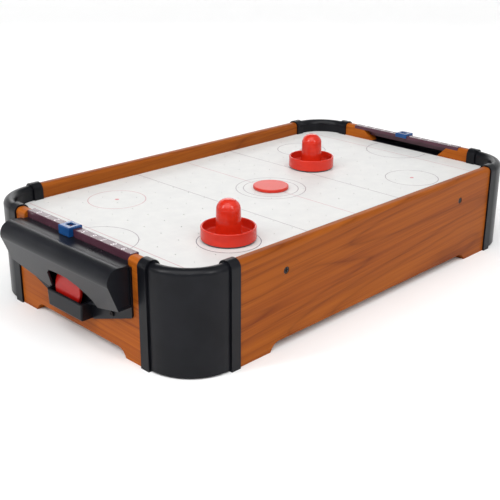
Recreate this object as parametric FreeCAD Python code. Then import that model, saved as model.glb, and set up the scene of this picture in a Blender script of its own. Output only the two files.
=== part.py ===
"""Tabletop air hockey game: wooden frame, plastic corners, goals, strikers and a battery blower.

Millimetres.  Origin at the bottom centre, +X along the table's length, +Z up.
"""
import FreeCAD
import Part
import math
import os

V = FreeCAD.Vector

# driving dimensions of the frame
LENGTH = 510.0
WIDTH = 304.0
HEIGHT = 99.0
RAIL_T = 12.0
RAIL_ROUND = 4.5
FIELD_TOP = 84.0
FIELD_T = 3.0
FIT = 0.2

# corner posts
CORNER_R = 48.0
STRAP_LEN = 10.5
STRAP_PROUD = 2.0
SKIN = 2.4
POST_LIFT = 1.5
END_WALL = 2.0

# arches under the rails
ARCH_HIGH = 8.0
ARCH_RUN = 14.0
ARCH_LONG_HALF = 157.6
ARCH_END_HALF = 70.2

# goals, given as distances outward from the table's centre
MOUTH_HALF_LOW = 51.0
MOUTH_HALF_HIGH = 63.0
MOUTH_TOP = 95.6
SILL_T = 2.4
HOOD_HALF = 82.8
HOOD_TOP = 92.6
HOOD_OUT = 280.0
HOOD_WALL = 2.2
HOOD_CHEEK = 3.0
HOOD_EDGE = 265.0
HOOD_BROW = (275.4, 90.6)
HOOD_NOSE_Z = (82.4, 80.0)
HOOD_CHIN = (279.0, 77.0)
HOOD_FOOT = (262.5, 34.8)
HOOD_V_SIDE = 53.7
HOOD_V_MIDDLE = 40.0
CHEEK_SINK = 1.6
CHEEK_LOW = 55.6
FINGER = [(24.5, 30.0), (22.4, 46.6), (18.8, 60.5), (13.5, 64.4), (0.0, 65.6), (-14.4, 65.1),
          (-27.1, 61.5), (-36.1, 57.4), (-44.0, 52.0), (-49.0, 44.0), (-52.0, 30.0)]
PLATE_T = 2.0
PLATE_HALF = 84.0
PLATE_CORNER_Z = 44.0
PLATE_ROUND = 3.0
SCOOP_HALF = 27.2
SCOOP_OUT = 269.0
SCOOP_LOW = 24.5
SCOOP_LIP = 41.0
SCOOP_WALL = 2.2
SCOOP_TAPER = 1.5
PIT_TOP = 42.5
GOAL_SCREW_Y = 55.6
GOAL_SCREW_Z = 39.0

# score bars
BAR_IN = 243.2
BAR_OUT = 251.5
BAR_HALF = 79.0
BAR_HIGH = 99.6
BAR_SKIRT_T = 1.3
BAR_SKIRT_LOW = 89.4
SLIDER_HALF = 8.2
SLIDER_GAP = 0.3
SLIDER_ROOF = 2.0
SLIDER_OUTER = 4.6
SLIDER_INNER = 1.0
SLIDER_RAISE = 0.7
WINDOW_HALF = 4.2
LEFT_SLIDER_Y = 12.0
RIGHT_SLIDER_Y = 4.0

# playing pieces
FLOAT = 0.3
STRIKER_R = 26.0
STRIKER_RIM = 12.4
STRIKER_TALL = 38.0
HANDLE_R = 12.1
PUCK_R = 19.25
PUCK_T = 3.4
LEFT_STRIKER = (-140.5, -80.5)
RIGHT_STRIKER = (94.0, 24.5)
PUCK_LEAN = 7.0
GOAL_PUCK_Y = 1.5

# striker details
STRIKER_WALL = 1.9
STRIKER_FLOOR = 3.2
DOME_RISE = 9.8
FELT_T = 1.0

# screws seen from outside
SCREW_X = 138.7
SCREW_Z = 74.0
SCREW_HEAD_R = 3.2
SCREW_RECESS = 1.6

# hidden tabs of the corner posts
LUG_Z = (41.0, 67.0)
LUG_LEN = 24.0
LUG_T = 2.5
LUG_ROOT = 4.0

# air chamber and blower
HOLE_R = 0.75
HOLE_PITCH = 25.0
PANEL_LOW = 24.0
PANEL_T = 3.0
CLEAT = 12.0
TUBE_R = 46.0
TUBE_TOP = 61.0
MOTOR_R = 12.0
MOTOR_LOW = 46.0
MOTOR_HIGH = 76.0
SHAFT_R = 1.0
WIRE_D = 1.6

# battery box and switch, under the right half
BOX_X = (66.0, 178.0)
BOX_HALF = 26.0
BOX_TOP = 46.0
CELL_R = 7.15
CELL_LEN = 50.5
CELL_Z = 35.5
CELL_ROW = 15.2
BOX_WALL = 1.8
CONTACT_T = 0.6
DOOR_HALF = 27.7
DOOR_Z = (21.5, 23.7)
GUIDE_LOW = 19.4
SWITCH = (120.0, -70.0)
ROCKER_R = 7.8
ROCKER_Z = 27.0

HALF_L = LENGTH / 2
HALF_W = WIDTH / 2
RAIL_HALF_L = HALF_L - CORNER_R - END_WALL
RAIL_HALF_W = HALF_W - CORNER_R - END_WALL
INNER_L = HALF_L - RAIL_T
INNER_W = HALF_W - RAIL_T
FIELD_LOW = FIELD_TOP - FIELD_T
PANEL_HIGH = PANEL_LOW + PANEL_T


def save(name, shape):
    shape.exportStep("parts/%s.step" % name)


def box(lo, hi):
    size = V(*hi) - V(*lo)
    return Part.makeBox(size.x, size.y, size.z, V(*lo))


def rod(r, start, end):
    run = V(*end) - V(*start)
    return Part.makeCylinder(r, run.Length, V(*start), run)


def fuse(shapes):
    return shapes[0].multiFuse(shapes[1:]).removeSplitter()


def outline(start, steps, place):
    """Closed wire; a step is an end point for a line, or (via, end) for an arc."""
    edges = []
    here = start
    for step in steps:
        if isinstance(step[0], tuple):
            via, end = step
            edges.append(Part.Arc(place(*here), place(*via), place(*end)).toShape())
        else:
            end = step
            edges.append(Part.LineSegment(place(*here), place(*end)).toShape())
        here = end
    edges.append(Part.LineSegment(place(*here), place(*start)).toShape())
    return Part.Wire(edges)


def extrude(wire, run):
    return Part.Face(wire).extrude(V(*run))


def polygon(points, place, run):
    return extrude(outline(points[0], points[1:], place), run)


def round_top(width, height, r, low=0.0):
    """Upright bar section from (0, low) with both top edges rounded."""
    bend = r * (1 - math.sqrt(0.5))
    steps = [
        (0.0, height - r),
        ((bend, height - bend), (r, height)),
        (width - r, height),
        ((width - bend, height - bend), (width, height - r)),
        (width, low),
    ]
    return (0.0, low), steps


def mirrored(shape):
    return shape.mirror(V(0, 0, 0), V(1, 0, 0))


def arch(half, place, run):
    """Low opening with curved ends, cut along the foot of a rail."""
    inner = half - ARCH_RUN
    mid = half - ARCH_RUN + ARCH_RUN * math.sqrt(0.5)
    rise = ARCH_HIGH * math.sqrt(0.5)
    steps = [
        (-half, 0.0),
        ((-mid, rise), (-inner, ARCH_HIGH)),
        (inner, ARCH_HIGH),
        ((mid, rise), (half, 0.0)),
        (half, -1.0),
    ]
    return extrude(outline((-half, -1.0), steps, place), run)


def long_rail_bar(half):
    start, steps = round_top(RAIL_T, HEIGHT, RAIL_ROUND)
    wire = outline(start, steps, lambda t, z: V(-half, -HALF_W + t, z))
    return extrude(wire, (2 * half, 0, 0))


def end_rail_bar(half):
    start, steps = round_top(RAIL_T, HEIGHT, RAIL_ROUND)
    wire = outline(start, steps, lambda t, z: V(-HALF_L + t, -half, z))
    return extrude(wire, (0, 2 * half, 0))


def front_rail():
    rail = long_rail_bar(RAIL_HALF_L)
    rail = rail.cut(arch(ARCH_LONG_HALF, lambda x, z: V(x, -HALF_W - 1, z), (0, RAIL_T + 2, 0)))
    for x in (-SCREW_X, SCREW_X):
        start = (x, -HALF_W - 1, SCREW_Z)
        rail = rail.cut(rod(SCREW_HEAD_R + 0.3, start, (x, -HALF_W + SCREW_RECESS, SCREW_Z)))
    return rail


def mouth(low, high, x_from, x_to):
    """Goal mouth, wider towards the top, as a cutter between two x planes."""
    slope = (MOUTH_HALF_HIGH - MOUTH_HALF_LOW) / (MOUTH_TOP - FIELD_TOP)
    low_half = MOUTH_HALF_LOW + slope * (low - FIELD_TOP)
    high_half = MOUTH_HALF_LOW + slope * (high - FIELD_TOP)
    points = [(-low_half, low), (low_half, low), (high_half, high), (-high_half, high)]
    return polygon(points, lambda y, z: V(x_from, y, z), (x_to - x_from, 0, 0))


def left_end_rail():
    rail = end_rail_bar(RAIL_HALF_W)
    rail = rail.cut(arch(ARCH_END_HALF, lambda y, z: V(-HALF_L - 1, y, z), (RAIL_T + 2, 0, 0)))
    rail = rail.cut(mouth(FIELD_TOP, HEIGHT + 1, -HALF_L - 1, -INNER_L + 1))
    seat_low = FIELD_TOP - SILL_T - FIT
    seat = box((-HALF_L - 1, -MOUTH_HALF_LOW, seat_low), (-INNER_L + 1, MOUTH_HALF_LOW, FIELD_TOP + FIT))
    ledge_y = BAR_HALF + FIT
    step_x = BAR_OUT - BAR_SKIRT_T - FIT
    ledge = box((-HALF_L - 1, -ledge_y, MOUTH_TOP), (-INNER_L + 1, ledge_y, HEIGHT + 1))
    step = box((-HALF_L - 1, -ledge_y, BAR_SKIRT_LOW - FIT), (-step_x, ledge_y, HEIGHT + 1))
    return rail.cut(seat).cut(ledge).cut(step)


def ring_section(r_in, r_out, low, top, r):
    """Section of a curved wall round a corner post's axis, with a rounded top."""
    start, steps = round_top(r_out - r_in, top, r, low)
    centre = V(HALF_L - CORNER_R, HALF_W - CORNER_R, 0)
    wire = outline(start, steps, lambda t, z: centre + V(r_in + t, 0, z))
    return Part.Face(wire).revolve(centre, V(0, 0, 1), 90)


def strap(along_x):
    """Raised band that wraps the end of a rail next to a corner post."""
    width = RAIL_T + 2 * STRAP_PROUD
    start, steps = round_top(width, HEIGHT + STRAP_PROUD, width / 2 - 0.6)
    if along_x:
        end = HALF_L - CORNER_R
        wire = outline(start, steps, lambda t, z: V(end, HALF_W + STRAP_PROUD - t, z))
        band = extrude(wire, (-STRAP_LEN, 0, 0))
        rail = long_rail_bar(RAIL_HALF_L).mirror(V(0, 0, 0), V(0, 1, 0))
        under = box((0, 0, -1), (end, INNER_W, FIELD_TOP))
    else:
        end = HALF_W - CORNER_R
        wire = outline(start, steps, lambda t, z: V(HALF_L + STRAP_PROUD - t, end, z))
        band = extrude(wire, (0, -STRAP_LEN, 0))
        rail = mirrored(end_rail_bar(RAIL_HALF_W))
        under = box((0, 0, -1), (INNER_L, end, FIELD_TOP))
    return band.cut(rail).cut(under)


def lug(along_x):
    """Hidden tab of a corner post, screwed to the rail's inner face."""
    if along_x:
        end = HALF_L - CORNER_R
        face = INNER_W
        tab = box((end - LUG_LEN, face - LUG_T, LUG_Z[0]), (end + LUG_ROOT, face, LUG_Z[1]))
        root = box((end, face - LUG_T, LUG_Z[0]), (end + LUG_ROOT, face + SKIN / 2, LUG_Z[1]))
    else:
        end = HALF_W - CORNER_R
        face = INNER_L
        tab = box((face - LUG_T, end - LUG_LEN, LUG_Z[0]), (face, end + LUG_ROOT, LUG_Z[1]))
        root = box((face - LUG_T, end, LUG_Z[0]), (face + SKIN / 2, end + LUG_ROOT, LUG_Z[1]))
    return tab.fuse(root)


def corner_cap():
    """Corner post of the back right corner: a hollow curved wall, two straps and two tabs."""
    r_in = CORNER_R - RAIL_T
    wall = ring_section(r_in, CORNER_R, POST_LIFT, HEIGHT, RAIL_T / 2 - 0.1)
    hollow = ring_section(r_in + SKIN, CORNER_R - SKIN, -1.0, HEIGHT - SKIN, RAIL_T / 2 - SKIN - 0.1)
    wall = wall.cut(hollow)
    return fuse([wall, strap(True), strap(False), lug(True), lug(False)])


def turned(shape, sx, sy):
    """Copy a back right corner piece into another corner."""
    if sx < 0:
        shape = shape.mirror(V(0, 0, 0), V(1, 0, 0))
    if sy < 0:
        shape = shape.mirror(V(0, 0, 0), V(0, 1, 0))
    return shape


def rounded_board(z_low, z_high):
    """Flat board that fills the frame and follows the corner posts."""
    half_x = INNER_L - FIT
    half_y = INNER_W - FIT
    board = box((-half_x, -half_y, z_low), (half_x, half_y, z_high))
    upright = [e for e in board.Edges if abs(e.tangentAt(0).z) > 0.9]
    return board.makeFillet(CORNER_R - RAIL_T, upright)


def playfield():
    board = rounded_board(FIELD_LOW, FIELD_TOP)
    columns = int((INNER_L - HOLE_PITCH / 2) // HOLE_PITCH)
    rows = int((INNER_W - HOLE_PITCH / 2) // HOLE_PITCH)
    holes = []
    for i in range(-columns, columns + 1):
        for j in range(-rows, rows + 1):
            if abs(i) >= columns and abs(j) >= rows:
                continue
            x = i * HOLE_PITCH
            y = j * HOLE_PITCH
            holes.append(rod(HOLE_R, (x, y, FIELD_LOW - 1), (x, y, FIELD_TOP + 1)))
    return board.cut(Part.makeCompound(holes))


def cleats(z_low):
    """Four square wooden strips inside the rails; returns front, back, left, right."""
    z_high = z_low + CLEAT
    long_half = 200.0
    end_half = 98.0
    front = box((-long_half, -INNER_W, z_low), (long_half, -INNER_W + CLEAT, z_high))
    back = box((-long_half, INNER_W - CLEAT, z_low), (long_half, INNER_W, z_high))
    left = box((-INNER_L, -end_half, z_low), (-INNER_L + CLEAT, end_half, z_high))
    return front, back, left, mirrored(left)


def hood_profile(inset):
    """Hood section seen from its end; distances outward and up."""
    top = HOOD_TOP - inset
    out = HOOD_OUT - inset
    brow_in = 0.8 * inset
    nose_high, nose_low = HOOD_NOSE_Z
    chin_x, chin_z = HOOD_CHIN
    foot_x, foot_z = HOOD_FOOT
    steps = [
        (HOOD_EDGE, top),
        ((HOOD_BROW[0] - brow_in, HOOD_BROW[1] - brow_in), (out, nose_high)),
        ((out, nose_low), (chin_x - inset, chin_z)),
        (foot_x - inset, foot_z),
        (HALF_L + PLATE_T, foot_z),
    ]
    return (HALF_L + PLATE_T, top), steps


def hood_house(half, drop):
    """Front outline of the hood: level top and a shallow V below."""
    side_z = HOOD_V_SIDE + drop
    middle_z = HOOD_V_MIDDLE + drop
    over = HEIGHT + 10.0
    return [(-half, over), (half, over), (half, side_z), (SCOOP_HALF, middle_z),
            (-SCOOP_HALF, middle_z), (-half, side_z)]


def hood_prism(inset, half, drop):
    start, steps = hood_profile(inset)
    prism = extrude(outline(start, steps, lambda x, z: V(-x, -half, z)), (0, 2 * half, 0))
    beyond = -HOOD_OUT - 5.0
    house = polygon(hood_house(half, drop), lambda y, z: V(beyond, y, z), (40.0, 0, 0))
    return prism.common(house)


def cheek_recess(side):
    """Shallow sunken panel in one end of the hood."""
    start, steps = hood_profile(CHEEK_SINK)
    y = side * (HOOD_HALF - CHEEK_SINK / 2)
    wire = outline(start, steps, lambda x, z: V(-x, y, z))
    panel = extrude(wire, (0, side * 2.0, 0))
    return panel.common(box((-HALF_L - 50.0, -100.0, CHEEK_LOW), (0.0, 100.0, HEIGHT + 20.0)))


def left_hood():
    shell = hood_prism(0.0, HOOD_HALF, 0.0)
    shell = shell.cut(hood_prism(HOOD_WALL, HOOD_HALF - HOOD_CHEEK, HOOD_WALL))
    pit = SCOOP_HALF + FIT
    shell = shell.cut(box((-HOOD_OUT, -pit, SCOOP_LOW - 5.0), (-HALF_L, pit, PIT_TOP)))
    for side in (-1, 1):
        shell = shell.cut(cheek_recess(side))
    beyond = -HOOD_OUT - 5.0
    finger = polygon(FINGER, lambda y, z: V(beyond, y, z), (23.0, 0, 0))
    roof = box((-HALF_L - PLATE_T, -BAR_HALF, HOOD_TOP - HOOD_WALL), (-BAR_OUT - 0.4, BAR_HALF, HOOD_TOP))
    return fuse([shell.cut(finger), roof])


def scoop_plate():
    """Plate on the end rail, open at the goal mouth, with a sill that carries the puck through."""
    top = HOOD_TOP - HOOD_WALL
    foot = SCOOP_HALF + SCOOP_TAPER
    points = [(-PLATE_HALF, top), (PLATE_HALF, top), (PLATE_HALF, PLATE_CORNER_Z),
              (foot, SCOOP_LOW), (-foot, SCOOP_LOW), (-PLATE_HALF, PLATE_CORNER_Z)]
    plate = polygon(points, lambda y, z: V(-HALF_L - PLATE_T, y, z), (PLATE_T, 0, 0))
    corners = [e for e in plate.Edges
               if e.Length < PLATE_T + 0.01 and abs(e.CenterOfMass.z - PLATE_CORNER_Z) < 0.01]
    plate = plate.makeFillet(PLATE_ROUND, corners)
    plate = plate.cut(mouth(FIELD_TOP, HOOD_TOP + 5.0, -HALF_L - 5.0, -HALF_L + 5.0))
    sill_half = MOUTH_HALF_LOW - FIT
    sill = box((-HALF_L - PLATE_T, -sill_half, FIELD_TOP - SILL_T), (-INNER_L, sill_half, FIELD_TOP - 0.1))
    return plate.fuse(sill)


def left_scoop():
    """Back plate round the goal mouth, with the pocket that catches the puck."""
    foot = SCOOP_HALF - SCOOP_TAPER
    outer = [(-SCOOP_HALF, SCOOP_LIP), (SCOOP_HALF, SCOOP_LIP), (foot, SCOOP_LOW), (-foot, SCOOP_LOW)]
    cup = polygon(outer, lambda y, z: V(-SCOOP_OUT, y, z), (SCOOP_OUT - HALF_L, 0, 0))
    room_half = foot - SCOOP_WALL
    room = box((-SCOOP_OUT + 2.0, -room_half, SCOOP_LOW + SCOOP_WALL),
               (-HALF_L - PLATE_T, room_half, SCOOP_LIP + 1.0))
    front = [e for e in cup.Edges if all(abs(v.X + SCOOP_OUT) < 0.01 for v in e.Vertexes)]
    cup = cup.makeFillet(1.6, front)
    return fuse([scoop_plate(), cup.cut(room)])


def left_score_bar():
    """Printed bar over the goal mouth, with a skirt down its outer side."""
    bar = box((-BAR_OUT, -BAR_HALF, MOUTH_TOP), (-BAR_IN, BAR_HALF, BAR_HIGH))
    top = [e for e in bar.Edges if abs(e.CenterOfMass.z - BAR_HIGH) < 0.01]
    bar = bar.makeFillet(0.6, top)
    skirt = box((-BAR_OUT, -BAR_HALF, BAR_SKIRT_LOW), (-BAR_OUT + BAR_SKIRT_T, BAR_HALF, BAR_HIGH - 1.0))
    return fuse([bar, skirt])


def left_slider(y):
    """Blue clip that straddles the score bar, with a window over the digit."""
    x_out = -BAR_OUT - SLIDER_GAP
    x_in = -BAR_IN + SLIDER_GAP
    under = BAR_HIGH + SLIDER_GAP
    top = under + SLIDER_ROOF
    low = HOOD_TOP + SLIDER_RAISE
    y0 = y - SLIDER_HALF
    y1 = y + SLIDER_HALF
    body = box((x_out - SLIDER_OUTER, y0, low), (x_in + SLIDER_INNER, y1, top))
    edges = [e for e in body.Edges if abs(e.CenterOfMass.z - top) < 0.01]
    body = body.makeFillet(0.9, edges)
    body = body.cut(box((x_out, y0 - 1, low - 1), (x_in, y1 + 1, under)))
    body = body.cut(box((x_in - 1, y0 - 1, low - 1), (x_in + 5, y1 + 1, MOUTH_TOP + 1.2)))
    return body.cut(box((x_out, y - WINDOW_HALF, under - 1), (x_in - 2.4, y + WINDOW_HALF, top + 3.0)))


def revolve_section(start, steps, centre):
    wire = outline(start, steps, lambda r, z: V(r, 0, z))
    solid = Part.Face(wire).revolve(V(0, 0, 0), V(0, 0, 1), 360)
    solid.translate(V(*centre))
    return solid


def striker(centre):
    """Hollow mallet: a cup-shaped base with a domed handle in the middle."""
    wall = STRIKER_WALL
    dome = DOME_RISE
    floor = STRIKER_FLOOR
    shoulder = STRIKER_TALL - dome
    crown = 1.0
    tip_r = HANDLE_R - 0.8
    lip = wall / 2
    outside = [
        (STRIKER_R - 0.8, 0.0),
        (STRIKER_R, 0.8),
        (STRIKER_R, STRIKER_RIM - lip),
        ((STRIKER_R - lip, STRIKER_RIM), (STRIKER_R - wall, STRIKER_RIM - lip)),
        (STRIKER_R - wall - 0.6, floor + 2.0),
        ((STRIKER_R - wall - 1.2, floor + 0.6), (STRIKER_R - wall - 2.6, floor)),
        (HANDLE_R + 2.2, floor),
        ((HANDLE_R + 0.65, floor + 0.65), (HANDLE_R, floor + 2.2)),
        (tip_r, shoulder),
        ((tip_r * 0.75, shoulder + dome * 0.7), (crown, STRIKER_TALL)),
        (0.0, STRIKER_TALL),
    ]
    hollow_r = tip_r - wall
    hollow = [
        (HANDLE_R - wall, -1.0),
        (hollow_r, shoulder),
        ((hollow_r * 0.75, shoulder + (dome - wall) * 0.7), (crown, STRIKER_TALL - wall)),
        (0.0, STRIKER_TALL - wall),
    ]
    base = (centre[0], centre[1], FIELD_TOP + FLOAT + FELT_T)
    return revolve_section((0.0, 0.0), outside, base).cut(revolve_section((0.0, -1.0), hollow, base))


def striker_felt(centre):
    x, y = centre
    z = FIELD_TOP + FLOAT
    disc = rod(STRIKER_R - 1.2, (x, y, z), (x, y, z + FELT_T))
    return disc.cut(rod(HANDLE_R - 2.0, (x, y, z - 1), (x, y, z + 2)))


def puck():
    """Flat disc with softened rims, centred on the origin."""
    half = PUCK_T / 2
    ease = 0.5
    steps = [
        (PUCK_R - ease, -half),
        (PUCK_R, -half + ease),
        (PUCK_R, half - ease),
        (PUCK_R - ease, half),
        (0.0, half),
    ]
    return revolve_section((0.0, -half), steps, (0, 0, 0))


def center_puck():
    disc = puck()
    disc.translate(V(0, 0, FIELD_TOP + FLOAT + PUCK_T / 2))
    return disc


def goal_puck():
    """Puck standing on edge in the left pocket, leaning back on the plate."""
    disc = puck()
    disc.rotate(V(0, 0, 0), V(0, 1, 0), -90 + PUCK_LEAN)
    lean = math.radians(PUCK_LEAN)
    floor = SCOOP_LOW + SCOOP_WALL
    rise = PUCK_R * math.cos(lean) + PUCK_T / 2 * math.sin(lean)
    x = -(SCOOP_OUT - 2.0 + HALF_L + PLATE_T) / 2
    disc.translate(V(x, GOAL_PUCK_Y, floor + FLOAT + rise))
    return disc


def bottom_panel():
    panel = rounded_board(PANEL_LOW, PANEL_HIGH)
    panel = panel.cut(rod(38.0, (0, 0, PANEL_LOW - 1), (0, 0, PANEL_HIGH + 1)))
    panel = panel.cut(box((BOX_X[0] - FIT, -BOX_HALF - FIT, PANEL_LOW - 1),
                          (BOX_X[1] + FIT, BOX_HALF + FIT, PANEL_HIGH + 1)))
    sx, sy = SWITCH
    return panel.cut(box((sx - 9.7, sy - 6.7, PANEL_LOW - 1), (sx + 9.7, sy + 6.7, PANEL_HIGH + 1)))


def intake_grille():
    low = PANEL_LOW - 2.4
    ring = rod(44.0, (0, 0, low), (0, 0, PANEL_LOW)).cut(rod(36.0, (0, 0, low - 1), (0, 0, PANEL_LOW + 1)))
    bars = []
    for i in range(-4, 5):
        y = i * 8.0
        reach = math.sqrt(37.0 ** 2 - y ** 2)
        bars.append(box((-reach, y - 1.2, low + 0.4), (reach, y + 1.2, PANEL_LOW)))
    return fuse([ring] + bars)


def fan_housing():
    inner = TUBE_R - 3.0
    tube = rod(TUBE_R, (0, 0, PANEL_HIGH), (0, 0, TUBE_TOP))
    flange = rod(TUBE_R + 8.0, (0, 0, PANEL_HIGH), (0, 0, PANEL_HIGH + 2.5))
    body = tube.fuse(flange).cut(rod(inner, (0, 0, PANEL_HIGH - 1), (0, 0, TUBE_TOP + 1)))
    return body.removeSplitter()


def motor_mount():
    """Three-armed spider that holds the motor above the fan."""
    low = TUBE_TOP - 9.0
    hub = rod(MOTOR_R + 3.0, (0, 0, low), (0, 0, TUBE_TOP))
    arms = []
    for k in range(3):
        arm = box((MOTOR_R + 1.0, -2.5, TUBE_TOP - 4.0), (TUBE_R - 3.4, 2.5, TUBE_TOP))
        seat = box((TUBE_R - 4.5, -4.0, TUBE_TOP), (TUBE_R, 4.0, TUBE_TOP + 2.0))
        join = box((TUBE_R - 4.5, -2.5, TUBE_TOP - 4.0), (TUBE_R - 3.4, 2.5, TUBE_TOP + 1.0))
        arm = arm.fuse(seat).fuse(join)
        arm.rotate(V(0, 0, 0), V(0, 0, 1), 120.0 * k + 30.0)
        arms.append(arm)
    body = fuse([hub] + arms)
    return body.cut(rod(MOTOR_R, (0, 0, low - 1), (0, 0, TUBE_TOP + 3)))


def fan_motor():
    can = rod(MOTOR_R, (0, 0, MOTOR_LOW), (0, 0, MOTOR_HIGH))
    boss = rod(3.0, (0, 0, MOTOR_LOW - 1.2), (0, 0, MOTOR_LOW))
    can = can.fuse(boss)
    bore = rod(SHAFT_R + 0.05, (0, 0, MOTOR_LOW - 5), (0, 0, MOTOR_HIGH - 3.0))
    return can.cut(bore).removeSplitter()


def motor_shaft():
    return rod(SHAFT_R, (0, 0, 32.0), (0, 0, MOTOR_HIGH - 5.0))


def impeller():
    """Five-bladed axial fan pressed on the motor shaft."""
    low = 32.0
    high = 43.0
    blades = []
    for k in range(5):
        blade = box((5.5, -8.5, -0.9), (39.0, 8.5, 0.9))
        blade.rotate(V(0, 0, 0), V(1, 0, 0), 32.0)
        blade.translate(V(0, 0, (low + high) / 2))
        blade.rotate(V(0, 0, 0), V(0, 0, 1), 72.0 * k)
        blades.append(blade)
    hub = rod(7.5, (0, 0, low), (0, 0, high))
    return fuse([hub] + blades).cut(rod(SHAFT_R, (0, 0, low - 1), (0, 0, high + 1)))


def battery_box():
    x0, x1 = BOX_X
    wall = BOX_WALL
    outer = box((x0, -BOX_HALF, PANEL_LOW), (x1, BOX_HALF, BOX_TOP))
    flange = box((x0 - 4, -BOX_HALF - 4, PANEL_HIGH), (x1 + 4, BOX_HALF + 4, PANEL_HIGH + 2))
    room = box((x0 + wall, -BOX_HALF + wall, PANEL_LOW - 1), (x1 - wall, BOX_HALF - wall, BOX_TOP - wall))
    body = outer.fuse(flange).removeSplitter()
    return body.cut(room)


def batteries():
    """Six AA cells in three rows of two."""
    middle = (BOX_X[0] + BOX_X[1]) / 2
    cells = []
    for row in (-1, 0, 1):
        y = row * CELL_ROW
        for x in (middle - CELL_LEN - 0.1, middle + 0.1):
            body = rod(CELL_R, (x, y, CELL_Z), (x + CELL_LEN - 1.5, y, CELL_Z))
            tip = rod(2.7, (x + CELL_LEN - 1.5, y, CELL_Z), (x + CELL_LEN, y, CELL_Z))
            cells.append(body.fuse(tip))
    return Part.makeCompound(cells)


def battery_contacts():
    """Spring plates at both ends of each row of cells."""
    plates = []
    middle = (BOX_X[0] + BOX_X[1]) / 2
    for row in (-1, 0, 1):
        y = row * CELL_ROW
        for side in (-1, 1):
            wall = middle + side * (BOX_X[1] - middle - BOX_WALL)
            cell = middle + side * (CELL_LEN + 0.1)
            face = wall - side * CONTACT_T
            plate = box((min(wall, face), y - 6, 29.5), (max(wall, face), y + 6, 42.0))
            knob = rod(3.0, (face, y, CELL_Z), (cell, y, CELL_Z))
            plates.append(plate.fuse(knob).removeSplitter())
    return Part.makeCompound(plates)


def battery_door():
    x0, x1 = BOX_X
    lid = box((x0 - 3, -DOOR_HALF, DOOR_Z[0]), (x1 + 3, DOOR_HALF, DOOR_Z[1]))
    for i in range(5):
        x = x1 - 14 + 3.0 * i
        lid = lid.cut(box((x, -12, DOOR_Z[0] - 1), (x + 1.4, 12, DOOR_Z[0] + 0.6)))
    return lid


def door_guides():
    """Two L-shaped strips that hold the battery door up against the panel."""
    x0, x1 = BOX_X
    strips = []
    for side in (-1, 1):
        y_in, y_mid, y_out = side * 26.0, side * 28.0, side * 31.5
        web = box((x0 - 3, min(y_mid, y_out), GUIDE_LOW), (x1 + 3, max(y_mid, y_out), PANEL_LOW))
        shelf = box((x0 - 3, min(y_in, y_mid), GUIDE_LOW), (x1 + 3, max(y_in, y_mid), DOOR_Z[0] - 0.3))
        strips.append(web.fuse(shelf).removeSplitter())
    return Part.makeCompound(strips)


def switch_body():
    sx, sy = SWITCH
    shell = box((sx - 9.5, sy - 6.5, PANEL_LOW), (sx + 9.5, sy + 6.5, 40.0))
    bezel = box((sx - 11.5, sy - 8.0, PANEL_LOW - 1.6), (sx + 11.5, sy + 8.0, PANEL_LOW))
    body = shell.fuse(bezel).removeSplitter()
    body = body.cut(box((sx - 8.1, sy - 5.2, 15.0), (sx + 8.1, sy + 5.2, 36.0)))
    body = body.cut(rod(1.05, (sx, sy - 6.0, ROCKER_Z), (sx, sy + 6.0, ROCKER_Z)))
    for dx in (-5.0, 5.0):
        body = body.fuse(box((sx + dx - 0.4, sy - 2.4, 40.0), (sx + dx + 0.4, sy + 2.4, 47.0)))
    return body.removeSplitter()


def switch_rocker():
    """Rocker with two faces that meet in a shallow V; it rests with one end pressed."""
    sx, sy = SWITCH
    drum = rod(ROCKER_R, (sx, sy - 4.9, ROCKER_Z), (sx, sy + 4.9, ROCKER_Z))
    drum = drum.cut(box((sx - 10, sy - 6, ROCKER_Z + 2.0), (sx + 10, sy + 6, ROCKER_Z + 12)))
    for side in (-1, 1):
        plane = box((-12, -6, -10), (12, 6, 0))
        plane.translate(V(0, 0, -5.2))
        plane.rotate(V(0, 0, 0), V(0, 1, 0), side * 10.0)
        plane.translate(V(sx, sy, ROCKER_Z))
        half = box((sx + min(0, side * 12), sy - 6, 0), (sx + max(0, side * 12), sy + 6, ROCKER_Z))
        drum = drum.cut(plane.common(half))
    drum = drum.fuse(rod(1.0, (sx, sy - 5.9, ROCKER_Z), (sx, sy + 5.9, ROCKER_Z))).removeSplitter()
    drum.rotate(V(sx, sy, ROCKER_Z), V(0, 1, 0), -9.0)
    return drum


def wire_path(points, bend):
    """Straight runs joined by tangent arcs of one radius."""
    edges = []
    here = V(*points[0])
    for before, corner, after in zip(points, points[1:], points[2:]):
        corner = V(*corner)
        back = (V(*before) - corner).normalize()
        ahead = (V(*after) - corner).normalize()
        turn = math.pi - back.getAngle(ahead)
        trim = bend * math.tan(turn / 2)
        enter = corner + back * trim
        leave = corner + ahead * trim
        middle = (back + ahead).normalize()
        via = corner + middle * (bend / math.cos(turn / 2) - bend)
        edges.append(Part.LineSegment(here, enter).toShape())
        edges.append(Part.Arc(enter, via, leave).toShape())
        here = leave
    edges.append(Part.LineSegment(here, V(*points[-1])).toShape())
    return Part.Wire(edges)


def lead(points, bend):
    path = wire_path(points, bend)
    start = V(*points[0])
    ring = Part.Wire(Part.makeCircle(WIRE_D / 2, start, V(*points[1]) - start))
    return path.makePipeShell([ring], True, False)


def screw(head, tip, head_r, head_t, shank_r):
    """Pan head on the near side of the head point, shank on to the tip."""
    run = (V(*tip) - V(*head)).normalize()
    top = V(*head) - run * head_t
    body = rod(shank_r, tuple(head), tuple(tip)).fuse(rod(head_r, tuple(top), tuple(head)))
    cross = []
    for k in (0, 90):
        slot = Part.makeBox(0.7, 2 * head_r * 0.7, head_t * 0.6, V(-0.35, -head_r * 0.7, 0))
        slot.rotate(V(0, 0, 0), V(0, 0, 1), k)
        slot.Placement = FreeCAD.Placement(top, FreeCAD.Rotation(V(0, 0, 1), run)).multiply(slot.Placement)
        cross.append(slot)
    return body.removeSplitter().cut(Part.makeCompound(cross))


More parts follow.
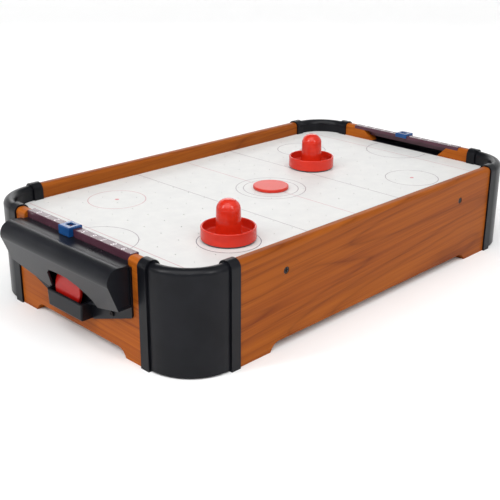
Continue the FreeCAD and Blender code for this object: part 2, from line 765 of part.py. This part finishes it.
def rail_screws():
    screws = []
    for x in (-SCREW_X, SCREW_X):
        for side in (-1, 1):
            head = (x, side * (HALF_W - SCREW_RECESS), SCREW_Z)
            tip = (x, side * (HALF_W - 20.0), SCREW_Z)
            screws.append(screw(head, tip, SCREW_HEAD_R, 1.3, 1.5))
    return Part.makeCompound(screws)


def corner_screws():
    screws = []
    z = (LUG_Z[0] + LUG_Z[1]) / 2
    for sx in (-1, 1):
        for sy in (-1, 1):
            for step in (8.0, 18.0):
                y = sy * (HALF_W - CORNER_R - step)
                x = sx * (INNER_L - LUG_T)
                screws.append(screw((x, y, z), (x + sx * 11.0, y, z), 3.0, 1.6, 1.5))
                x = sx * (HALF_L - CORNER_R - step)
                y = sy * (INNER_W - LUG_T)
                screws.append(screw((x, y, z), (x, y + sy * 11.0, z), 3.0, 1.6, 1.5))
    return Part.makeCompound(screws)


def left_goal_screws():
    screws = []
    x = -HALF_L - PLATE_T
    z = GOAL_SCREW_Z
    for y in (-GOAL_SCREW_Y, GOAL_SCREW_Y):
        screws.append(screw((x, y, z), (x + 11.0, y, z), 2.6, 1.4, 1.3))
    return Part.makeCompound(screws)


def panel_screws():
    screws = []
    spots = [(x, side * 134.0) for x in (-180, -60, 60, 180) for side in (-1, 1)]
    spots += [(side * 237.0, y) for y in (-60, 60) for side in (-1, 1)]
    for x, y in spots:
        screws.append(screw((x, y, PANEL_LOW), (x, y, PANEL_LOW + 12.0), 3.0, 1.6, 1.5))
    return Part.makeCompound(screws)


def fan_screws():
    screws = []
    for k in range(4):
        angle = math.radians(45 + 90 * k)
        x = (TUBE_R + 4.0) * math.cos(angle)
        y = (TUBE_R + 4.0) * math.sin(angle)
        z = PANEL_HIGH + 2.5
        screws.append(screw((x, y, z), (x, y, z - 5.0), 2.6, 1.4, 1.2))
    return Part.makeCompound(screws)


def make_frame():
    front = front_rail()
    left = left_end_rail()
    save("front_rail", front)
    save("back_rail", front.mirror(V(0, 0, 0), V(0, 1, 0)))
    save("left_end_rail", left)
    save("right_end_rail", mirrored(left))
    cap = corner_cap()
    for row, sy in (("back", 1), ("front", -1)):
        for side, sx in (("right", 1), ("left", -1)):
            save("corner_cap_%s_%s" % (row, side), turned(cap, sx, sy))
    save("playfield", playfield())
    for level, z in (("upper", FIELD_LOW - CLEAT), ("lower", PANEL_HIGH)):
        for side, strip in zip(("front", "back", "left", "right"), cleats(z)):
            save("%s_cleat_%s" % (level, side), strip)
    save("rail_screws", rail_screws())
    save("corner_screws", corner_screws())


def make_goals():
    save("goal_hood_left", left_hood())
    save("goal_hood_right", mirrored(left_hood()))
    save("goal_scoop_left", left_scoop())
    save("goal_scoop_right", mirrored(left_scoop()))
    save("score_bar_left", left_score_bar())
    save("score_bar_right", mirrored(left_score_bar()))
    save("score_slider_left", left_slider(LEFT_SLIDER_Y))
    save("score_slider_right", mirrored(left_slider(RIGHT_SLIDER_Y)))
    save("goal_screws_left", left_goal_screws())
    save("goal_screws_right", mirrored(left_goal_screws()))


def make_play_pieces():
    save("striker_left", striker(LEFT_STRIKER))
    save("striker_right", striker(RIGHT_STRIKER))
    save("striker_felt_left", striker_felt(LEFT_STRIKER))
    save("striker_felt_right", striker_felt(RIGHT_STRIKER))
    save("puck_center", center_puck())
    save("puck_goal", goal_puck())


def make_blower():
    save("bottom_panel", bottom_panel())
    save("intake_grille", intake_grille())
    save("fan_housing", fan_housing())
    save("motor_mount", motor_mount())
    save("fan_motor", fan_motor())
    save("motor_shaft", motor_shaft())
    save("impeller", impeller())
    save("panel_screws", panel_screws())
    save("fan_screws", fan_screws())


def make_electrics():
    sx, sy = SWITCH
    save("battery_box", battery_box())
    save("batteries", batteries())
    save("battery_contacts", battery_contacts())
    save("battery_door", battery_door())
    save("battery_door_guides", door_guides())
    save("switch_body", switch_body())
    save("switch_rocker", switch_rocker())
    save("wire_battery_switch", lead([(sx + 5, -BOX_HALF, 38), (sx + 5, -48, 38), (sx + 5, -48, 54),
                                      (sx + 5, sy, 54), (sx + 5, sy, 47)], 3.2))
    save("wire_switch_motor", lead([(sx - 5, sy, 47), (sx - 5, sy, 56), (7, sy, 56), (7, sy, 78.5),
                                    (7, -3, 78.5), (7, -3, MOTOR_HIGH)], 2.2))
    save("wire_battery_motor", lead([(BOX_X[0], 12, 38), (54, 12, 38), (54, 12, 78.5), (-3, 12, 78.5),
                                     (-3, 4, 78.5), (-3, 4, MOTOR_HIGH)], 2.2))


os.makedirs("parts", exist_ok=True)
make_frame()
make_goals()
make_play_pieces()
make_blower()
make_electrics()
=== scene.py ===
"""Looks of the tabletop air hockey game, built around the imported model."""

import math
import bpy
import bmesh
from mathutils import Matrix, Vector


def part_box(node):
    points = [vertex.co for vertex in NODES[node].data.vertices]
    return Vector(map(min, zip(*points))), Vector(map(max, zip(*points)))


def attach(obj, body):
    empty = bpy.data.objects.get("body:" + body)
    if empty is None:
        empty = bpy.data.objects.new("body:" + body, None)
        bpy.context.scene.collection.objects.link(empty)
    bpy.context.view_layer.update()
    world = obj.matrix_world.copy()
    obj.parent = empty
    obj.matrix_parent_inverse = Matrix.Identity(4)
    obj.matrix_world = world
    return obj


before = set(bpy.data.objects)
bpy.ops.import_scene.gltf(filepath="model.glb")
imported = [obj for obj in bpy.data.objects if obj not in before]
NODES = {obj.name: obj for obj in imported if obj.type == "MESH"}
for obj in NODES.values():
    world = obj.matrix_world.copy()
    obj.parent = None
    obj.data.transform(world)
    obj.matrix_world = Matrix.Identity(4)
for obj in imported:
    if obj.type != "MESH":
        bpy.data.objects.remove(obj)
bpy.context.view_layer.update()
MM = 0.001

# places read from the frame
FIELD_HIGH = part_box("playfield")[1]
FIELD_Z = FIELD_HIGH.z
PRINT_LIFT = 0.04 * MM


# ---------------------------------------------------------------- materials

# how far the wood's rings wander, and how many the noise is cut into
WOOD_WARP = 0.45
WOOD_RINGS = 15.0
# how much an ink thins, and the grey that then shows
INK_FADE = 0.25
INK_PALE = 0.8


class Graph:
    """Small helper to lay out one material's nodes."""

    def __init__(self, name):
        self.material = bpy.data.materials.new(name)
        self.material.use_nodes = True
        self.tree = self.material.node_tree
        self.tree.nodes.clear()
        self.out = self.add("ShaderNodeOutputMaterial")
        self.shader = self.add("ShaderNodeBsdfPrincipled")
        self.link(self.shader.outputs[0], self.out.inputs["Surface"])

    def add(self, kind, **values):
        node = self.tree.nodes.new(kind)
        for key, value in values.items():
            setattr(node, key, value)
        return node

    def link(self, source, target):
        self.tree.links.new(source, target)

    def set(self, **values):
        for key, value in values.items():
            self.shader.inputs[key.replace("_", " ")].default_value = value

    def place(self, scale=(1, 1, 1), rotation=(0, 0, 0), shift=(0, 0, 0)):
        """Object coordinates, scaled, turned and shifted."""
        coords = self.add("ShaderNodeTexCoord")
        mapping = self.add("ShaderNodeMapping")
        mapping.inputs["Scale"].default_value = scale
        mapping.inputs["Rotation"].default_value = rotation
        mapping.inputs["Location"].default_value = shift
        self.link(coords.outputs["Object"], mapping.inputs["Vector"])
        return mapping.outputs[0]

    def noise(self, vector, scale, detail=3.0, rough=0.5, distortion=0.0):
        node = self.add("ShaderNodeTexNoise")
        node.inputs["Scale"].default_value = scale
        node.inputs["Detail"].default_value = detail
        node.inputs["Roughness"].default_value = rough
        node.inputs["Distortion"].default_value = distortion
        self.link(vector, node.inputs["Vector"])
        return node.outputs["Fac"]

    def ramp(self, factor, stops):
        node = self.add("ShaderNodeValToRGB")
        while len(node.color_ramp.elements) < len(stops):
            node.color_ramp.elements.new(0.5)
        for element, (place, colour) in zip(node.color_ramp.elements, stops):
            element.position = place
            element.color = (*colour, 1.0)
        self.link(factor, node.inputs["Fac"])
        return node.outputs["Color"]

    def mix(self, factor, a, b, blend="MIX"):
        node = self.add("ShaderNodeMix", data_type="RGBA", blend_type=blend)
        for value, socket in ((factor, node.inputs[0]), (a, node.inputs[6]), (b, node.inputs[7])):
            if isinstance(value, (int, float)):
                socket.default_value = value
            elif isinstance(value, tuple):
                socket.default_value = (*value, 1.0)
            else:
                self.link(value, socket)
        return node.outputs[2]

    def span(self, factor, low, high):
        node = self.add("ShaderNodeMapRange")
        node.inputs["To Min"].default_value = low
        node.inputs["To Max"].default_value = high
        self.link(factor, node.inputs["Value"])
        return node.outputs[0]

    def colour(self, source):
        self.link(source, self.shader.inputs["Base Color"])

    def rough(self, source):
        self.link(source, self.shader.inputs["Roughness"])

    def bump(self, height, strength, distance):
        node = self.add("ShaderNodeBump")
        node.inputs["Strength"].default_value = strength
        node.inputs["Distance"].default_value = distance
        self.link(height, node.inputs["Height"])
        self.link(node.outputs[0], self.shader.inputs["Normal"])


def srgb(r, g, b):
    """Linear colour from 0-255 display values."""
    def one(v):
        v /= 255.0
        return v / 12.92 if v <= 0.04045 else ((v + 0.055) / 1.055) ** 2.4
    return (one(r), one(g), one(b))


def woodgrain(name, along, seed, rise, bright):
    """Printed cherry-wood vinyl: growth rings cut at a slant, with fibres, pores and slow drift."""
    g = Graph(name)
    slant = (0, rise, 0) if along == "X" else (rise, 0, 0)

    def stretched(run, across, shift):
        tilt = g.place((1, 1, 1), slant, (shift, -shift, 0.3 * shift))
        scale = g.add("ShaderNodeMapping")
        stretch = (run, across, across) if along == "X" else (across, run, across)
        scale.inputs["Scale"].default_value = stretch
        g.link(tilt, scale.inputs["Vector"])
        return scale.outputs[0]

    warp = g.noise(stretched(4.0, 9.0, seed), 1.0, 2.0, 0.5)
    push = g.add("ShaderNodeVectorMath", operation="SCALE")
    push.inputs["Scale"].default_value = WOOD_WARP
    g.link(warp, push.inputs[0])
    lifted = g.add("ShaderNodeVectorMath", operation="ADD")
    g.link(stretched(0.75, 17.0, 2 * seed), lifted.inputs[0])
    g.link(push.outputs[0], lifted.inputs[1])
    rings = g.noise(lifted.outputs[0], 1.0, 0.0, 0.4)
    count = g.add("ShaderNodeMath", operation="MULTIPLY")
    count.inputs[1].default_value = WOOD_RINGS
    g.link(rings, count.inputs[0])
    part = g.add("ShaderNodeMath", operation="FRACT")
    g.link(count.outputs[0], part.inputs[0])
    fibre = g.noise(stretched(2.6, 300.0, seed), 1.0, 3.0, 0.6)
    drift = g.noise(stretched(2.6, 17.0, 3 * seed), 1.0, 2.0, 0.5)
    pores = g.noise(stretched(13.0, 850.0, seed), 1.0, 1.0, 0.5)
    base = g.ramp(part.outputs[0], [
        (0.0, srgb(98, 42, 13)), (0.06, srgb(134, 66, 19)), (0.25, srgb(157, 83, 24)),
        (0.75, srgb(154, 80, 23)), (0.95, srgb(130, 62, 19)), (1.0, srgb(99, 42, 13))])
    tone = g.ramp(drift, [
        (0.34, srgb(168, 92, 24)), (0.52, srgb(152, 76, 22)), (0.68, srgb(122, 50, 18))])
    base = g.mix(0.40, base, tone)
    base = g.mix(0.26, base, g.ramp(fibre, [(0.36, srgb(102, 45, 13)), (0.64, srgb(178, 102, 34))]))
    base = g.mix(g.ramp(pores, [(0.60, (0, 0, 0)), (0.72, (0.30, 0.30, 0.30))]), base, srgb(84, 34, 12))
    # bright multiplies the whole wood colour; for the end rails it is lighter and more orange, which is
    # painted light.
    g.colour(g.mix(1.0, base, bright, "MULTIPLY"))
    g.rough(g.span(fibre, 0.38, 0.50))
    g.set(Specular_IOR_Level=0.10, Coat_Weight=0.03, Coat_Roughness=0.25)
    g.bump(fibre, 0.08, 0.0002)
    return g.material


def black_plastic(name, tint, low, high):
    """Fine-grained dark moulding; low and high bound its roughness."""
    g = Graph(name)
    grain = g.noise(g.place(), 2600.0, 2.0, 0.6)
    smear = g.noise(g.place(), 26.0, 3.0, 0.6)
    dark = srgb(*(c - 4 for c in tint))
    light = srgb(*(c + 5 for c in tint))
    g.colour(g.ramp(smear, [(0.35, dark), (0.65, light)]))
    g.rough(g.span(smear, low, high))
    g.set(Specular_IOR_Level=0.20)
    g.bump(grain, 0.10, 0.0001)
    return g.material


def gloss_plastic(name, colour, shade, rough, coat=0.2):
    """Shiny moulded plastic with faint flow marks."""
    g = Graph(name)
    flow = g.noise(g.place((1, 1, 2.5)), 45.0, 3.0, 0.5, 0.6)
    g.colour(g.ramp(flow, [(0.3, shade), (0.7, colour)]))
    g.rough(g.span(flow, *rough))
    g.set(Specular_IOR_Level=0.35, Coat_Weight=coat, Coat_Roughness=0.08)
    ripple = g.noise(g.place(), 160.0, 2.0, 0.5)
    g.bump(ripple, 0.04, 0.0003)
    return g.material


def field_board():
    g = Graph("white_board")
    mottle = g.noise(g.place(), 60.0, 4.0, 0.6)
    fine = g.noise(g.place(), 1400.0, 2.0, 0.5)
    g.colour(g.ramp(mottle, [(0.3, srgb(209, 209, 208)), (0.7, srgb(216, 216, 214))]))
    g.rough(g.span(mottle, 0.42, 0.50))
    g.set(Specular_IOR_Level=0.22)
    g.bump(fine, 0.05, 0.0001)
    return g.material


def fibre_board(name, low, high):
    g = Graph(name)
    chips = g.noise(g.place(), 700.0, 4.0, 0.7)
    g.colour(g.ramp(chips, [(0.3, low), (0.7, high)]))
    g.rough(g.span(chips, 0.7, 0.85))
    g.bump(chips, 0.3, 0.0002)
    return g.material


def metal(name, colour, rough):
    g = Graph(name)
    brush = g.noise(g.place((1, 1, 14)), 900.0, 2.0, 0.6)
    g.colour(g.ramp(brush, [(0.3, tuple(c * 0.8 for c in colour)), (0.7, colour)]))
    g.rough(g.span(brush, rough - 0.06, rough + 0.08))
    g.set(Metallic=1.0)
    g.bump(brush, 0.08, 0.0001)
    return g.material


def soft(name, low, high):
    g = Graph(name)
    fuzz = g.noise(g.place(), 900.0, 4.0, 0.7)
    g.colour(g.ramp(fuzz, [(0.3, low), (0.7, high)]))
    g.rough(g.span(fuzz, 0.85, 0.98))
    g.set(Sheen_Weight=0.3, Sheen_Roughness=0.6)
    g.bump(fuzz, 0.5, 0.0004)
    return g.material


def ink(name, colour):
    """Printed line: the ink thins out towards pale grey in specks."""
    g = Graph(name)
    speck = g.noise(g.place(), 500.0, 3.0, 0.6)
    faded = tuple((1 - INK_FADE) * c + INK_FADE * INK_PALE for c in colour)
    g.colour(g.ramp(speck, [(0.35, colour), (0.75, faded)]))
    g.rough(g.span(speck, 0.3, 0.4))
    return g.material


WOOD_X = woodgrain("woodgrain_along_x", "X", 3.0, 0.05, (0.90, 0.86, 0.70))
# The end rails' copy is multiplied lighter and more orange than the long rails' copy; that lift is
# painted light where the end rails face the lamps.
WOOD_Y_PAINTED_LIGHT = woodgrain("woodgrain_along_y_painted_light", "Y", 7.0, -0.04, (1.14, 1.10, 0.80))
BLACK = black_plastic("black_plastic", (14, 15, 20), 0.26, 0.36)
HOOD_BLACK = black_plastic("hood_plastic", (20, 21, 26), 0.24, 0.34)
RED = gloss_plastic("red_plastic", srgb(210, 44, 22), srgb(196, 34, 14), (0.18, 0.28), 0.10)
PUCK = gloss_plastic("puck_plastic", srgb(208, 48, 28), srgb(196, 38, 20), (0.28, 0.38), 0.0)
# The pocket puck is the same plastic as the loose puck, painted darker red: painted shade from the goal
# hood over it.
SHADED_POCKET_PUCK = gloss_plastic("puck_plastic_painted_shade", srgb(178, 20, 10), srgb(160, 14, 8), (0.30, 0.40), 0.0)
PLUM = gloss_plastic("score_bar_plastic", srgb(84, 48, 62), srgb(74, 42, 54), (0.2, 0.3))
BLUE = gloss_plastic("blue_plastic", srgb(20, 78, 138), srgb(14, 62, 118), (0.16, 0.24))
FIELD = field_board()
BARE_BOARD = fibre_board("raw_board", srgb(138, 106, 74), srgb(166, 132, 96))
SCREW = metal("screw_steel", (0.05, 0.045, 0.045), 0.42)
STEEL = metal("motor_steel", (0.55, 0.56, 0.58), 0.34)
NICKEL = metal("contact_metal", (0.72, 0.71, 0.68), 0.22)
FELT = soft("felt", srgb(28, 28, 30), srgb(46, 46, 48))
GRILLE = black_plastic("grille_plastic", (34, 35, 37), 0.45, 0.58)
FAN = gloss_plastic("fan_plastic", srgb(206, 206, 200), srgb(196, 196, 190), (0.35, 0.5))
CELL = gloss_plastic("cell_wrap", srgb(40, 84, 66), srgb(34, 74, 58), (0.3, 0.4))
ROCKER = gloss_plastic("rocker_plastic", srgb(26, 26, 28), srgb(22, 22, 24), (0.2, 0.3))
WIRE_RED = gloss_plastic("wire_red", srgb(176, 24, 18), srgb(160, 20, 15), (0.35, 0.5))
WIRE_BLACK = gloss_plastic("wire_black", srgb(24, 24, 25), srgb(20, 20, 21), (0.35, 0.5))

NODE_MATERIALS = (
    ("front_rail", WOOD_X), ("back_rail", WOOD_X),
    ("left_end_rail", WOOD_Y_PAINTED_LIGHT), ("right_end_rail", WOOD_Y_PAINTED_LIGHT),
    ("corner_cap", BLACK), ("goal_hood", HOOD_BLACK), ("goal_scoop", BLACK),
    ("playfield", FIELD), ("bottom_panel", BARE_BOARD),
    ("upper_cleat", BARE_BOARD), ("lower_cleat", BARE_BOARD),
    ("striker_felt", FELT), ("striker", RED), ("puck_goal", SHADED_POCKET_PUCK), ("puck", PUCK),
    ("score_bar", PLUM), ("score_slider", BLUE),
    ("rail_screws", SCREW), ("corner_screws", SCREW), ("goal_screws", SCREW),
    ("panel_screws", SCREW), ("fan_screws", SCREW),
    ("intake_grille", GRILLE), ("battery_door", GRILLE), ("battery_box", GRILLE), ("switch_body", GRILLE),
    ("fan_housing", FAN), ("motor_mount", FAN), ("impeller", FAN),
    ("fan_motor", STEEL), ("motor_shaft", STEEL),
    ("batteries", CELL), ("battery_contacts", NICKEL), ("switch_rocker", ROCKER),
    ("wire_battery_motor", WIRE_BLACK), ("wire_", WIRE_RED),
)


def paint(name, node):
    """Gives a node the first material whose prefix starts its name."""
    for start, material in NODE_MATERIALS:
        if name.startswith(start):
            node.data.materials.clear()
            node.data.materials.append(material)
            return
    raise ValueError("no material for " + name)


for node_name, node in NODES.items():
    paint(node_name, node)


# ---------------------------------------------------------------- printed field

FULL_TURN = 2 * math.pi


def flat_mesh(name, build, material, body="table"):
    """Adds a printed piece whose faces the build function makes."""
    bm = bmesh.new()
    build(bm)
    mesh = bpy.data.meshes.new(name)
    bm.to_mesh(mesh)
    bm.free()
    piece = bpy.data.objects.new(name, mesh)
    bpy.context.scene.collection.objects.link(piece)
    mesh.materials.append(material)
    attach(piece, body)


def band(bm, inner, outer, z, closed):
    """Flat strip between two rows of points."""
    a = [bm.verts.new((*p, z)) for p in inner]
    b = [bm.verts.new((*p, z)) for p in outer]
    count = len(a) if closed else len(a) - 1
    for i in range(count):
        j = (i + 1) % len(a)
        bm.faces.new((a[i], b[i], b[j], a[j]))


def circle_points(centre, r, start=0.0, sweep=FULL_TURN, steps=96):
    """Points along an arc; a full turn leaves out the repeated last point."""
    last = steps if sweep == FULL_TURN else steps + 1
    points = []
    for i in range(last):
        angle = start + sweep * i / steps
        points.append((centre[0] + r * math.cos(angle), centre[1] + r * math.sin(angle)))
    return points


def printed_ring(name, centre, r, width, material, start=0.0, sweep=FULL_TURN, lift=PRINT_LIFT):
    def build(bm):
        inner = circle_points(centre, r - width / 2, start, sweep)
        outer = circle_points(centre, r + width / 2, start, sweep)
        band(bm, inner, outer, FIELD_Z + lift, sweep == FULL_TURN)
    flat_mesh(name, build, material)


def printed_dot(name, centre, r, material):
    def build(bm):
        points = circle_points(centre, r, steps=40)
        bm.faces.new([bm.verts.new((*p, FIELD_Z + PRINT_LIFT)) for p in points])
    flat_mesh(name, build, material)


def printed_line(name, start, end, width, material, lift=PRINT_LIFT):
    def build(bm):
        run = Vector((end[0] - start[0], end[1] - start[1]))
        side = Vector((-run.y, run.x)).normalized() * width / 2
        corners = [(start[0] - side.x, start[1] - side.y), (end[0] - side.x, end[1] - side.y),
                   (end[0] + side.x, end[1] + side.y), (start[0] + side.x, start[1] + side.y)]
        bm.faces.new([bm.verts.new((x, y, FIELD_Z + lift)) for x, y in corners])
    flat_mesh(name, build, material)


LINE_GREY = ink("ink_grey", srgb(136, 124, 132))
LINE_ROSE = ink("ink_rose", srgb(186, 136, 142))
LINE_DARK = ink("ink_dark", srgb(74, 72, 84))
DOT_RED = ink("ink_red", srgb(190, 84, 90))

LINE = 0.9 * MM
FACE_OFF = (143.5 * MM, 84.0 * MM)
SPOT_R = 29.8 * MM
DOT_R = 2.2 * MM
CENTRE_R = 37.9 * MM
ZONE_X = 72.6 * MM
GOAL_X = 215.0 * MM
CREASE_X = 229.0 * MM
CREASE_R = 37.4 * MM
CREASE_HALF_SWEEP = math.radians(106)
FIELD_HALF_Y = FIELD_HIGH.y
GOAL_HALF_Y = FIELD_HALF_Y - 5.0 * MM

# lines that cross lie at different heights
LIFT_UNDER = 0.5 * PRINT_LIFT
LIFT_OVER = 1.5 * PRINT_LIFT

printed_ring("line_centre_inner", (0, 0), SPOT_R, LINE, LINE_GREY)
printed_ring("line_centre_outer", (0, 0), CENTRE_R, LINE, LINE_GREY)
printed_line("line_half", (0, -FIELD_HALF_Y), (0, FIELD_HALF_Y), LINE, LINE_ROSE, LIFT_UNDER)
for side, tag in ((-1, "left"), (1, "right")):
    printed_line("line_zone_" + tag, (side * ZONE_X, -FIELD_HALF_Y), (side * ZONE_X, FIELD_HALF_Y),
                 LINE, LINE_GREY)
    printed_line("line_goal_" + tag, (side * GOAL_X, -GOAL_HALF_Y), (side * GOAL_X, GOAL_HALF_Y),
                 LINE, LINE_ROSE)
    facing = 0.0 if side < 0 else math.pi
    printed_ring("line_crease_" + tag, (side * CREASE_X, 0), CREASE_R, LINE, LINE_GREY,
                 facing - CREASE_HALF_SWEEP, 2 * CREASE_HALF_SWEEP, LIFT_OVER)
    for end, row in ((-1, "front"), (1, "back")):
        spot = (side * FACE_OFF[0], end * FACE_OFF[1])
        spot_ink = {(-1, -1): LINE_DARK, (-1, 1): LINE_ROSE}.get((side, end), LINE_GREY)
        printed_ring("line_spot_%s_%s" % (row, tag), spot, SPOT_R, LINE, spot_ink)
        printed_dot("dot_%s_%s" % (row, tag), spot, DOT_R, DOT_RED)


# ---------------------------------------------------------------- score digits

DIGIT = ink("ink_white", srgb(226, 220, 224))
DIGIT_COUNT = 10
DIGIT_SIZE = 8.2 * MM
DIGIT_LIFT = 0.05 * MM


def digit_piece(name, text, centre, z, turn, body="table"):
    """Adds one flat printed digit that lies on a score bar."""
    curve = bpy.data.curves.new(name, "FONT")
    curve.body = text
    curve.size = DIGIT_SIZE
    curve.align_x = "CENTER"
    curve.align_y = "CENTER"
    curve.resolution_u = 4
    maker = bpy.data.objects.new(name + "_maker", curve)
    bpy.context.scene.collection.objects.link(maker)
    bpy.context.view_layer.update()
    graph = bpy.context.evaluated_depsgraph_get()
    mesh = bpy.data.meshes.new_from_object(maker.evaluated_get(graph))
    bpy.data.objects.remove(maker)
    mesh.transform(Matrix.Translation((centre[0], centre[1], z)) @ Matrix.Rotation(turn, 4, "Z"))
    mesh.name = name
    piece = bpy.data.objects.new(name, mesh)
    bpy.context.scene.collection.objects.link(piece)
    mesh.materials.clear()
    mesh.materials.append(DIGIT)
    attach(piece, body)


for side, tag in ((-1, "left"), (1, "right")):
    low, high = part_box("score_bar_" + tag)
    middle_x = (low.x + high.x) / 2
    pitch = (high.y - low.y) / (DIGIT_COUNT + 1)
    turn = -math.pi / 2 if side > 0 else math.pi / 2
    for n in range(DIGIT_COUNT):
        y = low.y + pitch * (n + 1)
        count = n if side > 0 else DIGIT_COUNT - 1 - n
        digit_piece("digit_%s_%d" % (tag, count), str(count), (middle_x, y), high.z + DIGIT_LIFT, turn)


# ---------------------------------------------------------------- stage, light, camera

def stage_floor():
    """Round studio floor that curves up into a low wall far from the object."""
    flat, bend, wall = 5.0, 2.0, 4.0
    bend_steps, around = 12, 64
    profile = [(flat, 0.0)]
    for i in range(1, bend_steps + 1):
        angle = math.pi / 2 * i / bend_steps
        profile.append((flat + bend * math.sin(angle), bend * (1 - math.cos(angle))))
    profile.append((flat + bend, wall))
    bm = bmesh.new()
    centre = bm.verts.new((0, 0, 0))
    rows = []
    for r, z in profile:
        ring = circle_points((0, 0), r, steps=around)
        rows.append([bm.verts.new((*p, z)) for p in ring])
    for k in range(around):
        n = (k + 1) % around
        bm.faces.new((centre, rows[0][k], rows[0][n]))
        for low, high in zip(rows, rows[1:]):
            bm.faces.new((low[k], high[k], high[n], low[n])).smooth = True
    mesh = bpy.data.meshes.new("floor")
    bm.to_mesh(mesh)
    bm.free()
    floor = bpy.data.objects.new("floor", mesh)
    bpy.context.scene.collection.objects.link(floor)
    g = Graph("floor_paper")
    tooth = g.noise(g.place(), 30.0, 2.0, 0.5)
    g.colour(g.ramp(tooth, [(0.0, (0.93, 0.93, 0.93)), (1.0, (0.95, 0.95, 0.95))]))
    g.set(Roughness=0.9)
    mesh.materials.append(g.material)


LIGHT_AIM = Vector((0, 0, 0.1))
WORLD_STRENGTH = 0.20


def area_light(name, place, size, power):
    data = bpy.data.lights.new(name, "AREA")
    data.shape = "RECTANGLE"
    data.size, data.size_y = size
    data.energy = power
    lamp = bpy.data.objects.new(name, data)
    bpy.context.scene.collection.objects.link(lamp)
    lamp.location = place
    lamp.rotation_euler = (LIGHT_AIM - Vector(place)).to_track_quat("-Z", "Y").to_euler()


def sun_light(name, toward, power, spread):
    """Sunlight from the direction toward; spread is its size in degrees."""
    data = bpy.data.lights.new(name, "SUN")
    data.energy = power
    data.angle = math.radians(spread)
    lamp = bpy.data.objects.new(name, data)
    bpy.context.scene.collection.objects.link(lamp)
    lamp.rotation_euler = Vector(toward).to_track_quat("Z", "Y").to_euler()


def light_scene():
    world = bpy.data.worlds.new("studio")
    world.use_nodes = True
    background = world.node_tree.nodes["Background"]
    background.inputs["Color"].default_value = (1, 1, 1, 1)
    background.inputs["Strength"].default_value = WORLD_STRENGTH
    bpy.context.scene.world = world
    sun_light("soft_key", (-0.55, -0.25, 1.0), 1.85, 60)
    sun_light("soft_fill", (0.25, -0.8, 0.9), 0.85, 100)
    area_light("glint_left", (-1.25, 0.25, 0.95), (0.16, 0.7), 5)
    area_light("glint_right", (-0.15, -1.3, 0.95), (0.16, 0.7), 5)
    area_light("back_strip", (1.1, 1.3, 0.85), (1.4, 0.5), 4)


# camera: place in metres, angles in radians, lens in mm, shift in sensor widths
CAMERA_PLACE = (-0.67172, -0.63692, 0.37795)
CAMERA_YAW = -0.80585
CAMERA_PITCH = -0.36016
CAMERA_ROLL = 0.01219
CAMERA_LENS = 64.25
CAMERA_SHIFT = -0.03


def add_camera():
    data = bpy.data.cameras.new("camera")
    data.sensor_width = 36.0
    data.lens = CAMERA_LENS
    data.shift_x = CAMERA_SHIFT
    data.shift_y = CAMERA_SHIFT
    data.clip_start = 0.01
    camera = bpy.data.objects.new("camera", data)
    bpy.context.scene.collection.objects.link(camera)
    ahead = Vector((-math.sin(CAMERA_YAW) * math.cos(CAMERA_PITCH),
                    math.cos(CAMERA_YAW) * math.cos(CAMERA_PITCH), math.sin(CAMERA_PITCH)))
    level = Vector((math.cos(CAMERA_YAW), math.sin(CAMERA_YAW), 0))
    over = level.cross(ahead)
    right = level * math.cos(CAMERA_ROLL) + over * math.sin(CAMERA_ROLL)
    up = over * math.cos(CAMERA_ROLL) - level * math.sin(CAMERA_ROLL)
    axes = Matrix((right, up, -ahead)).transposed().to_4x4()
    camera.matrix_world = Matrix.Translation(CAMERA_PLACE) @ axes
    bpy.context.scene.camera = camera


bpy.context.scene.view_settings.view_transform = "Standard"
stage_floor()
light_scene()
add_camera()

bpy.context.view_layer.update()
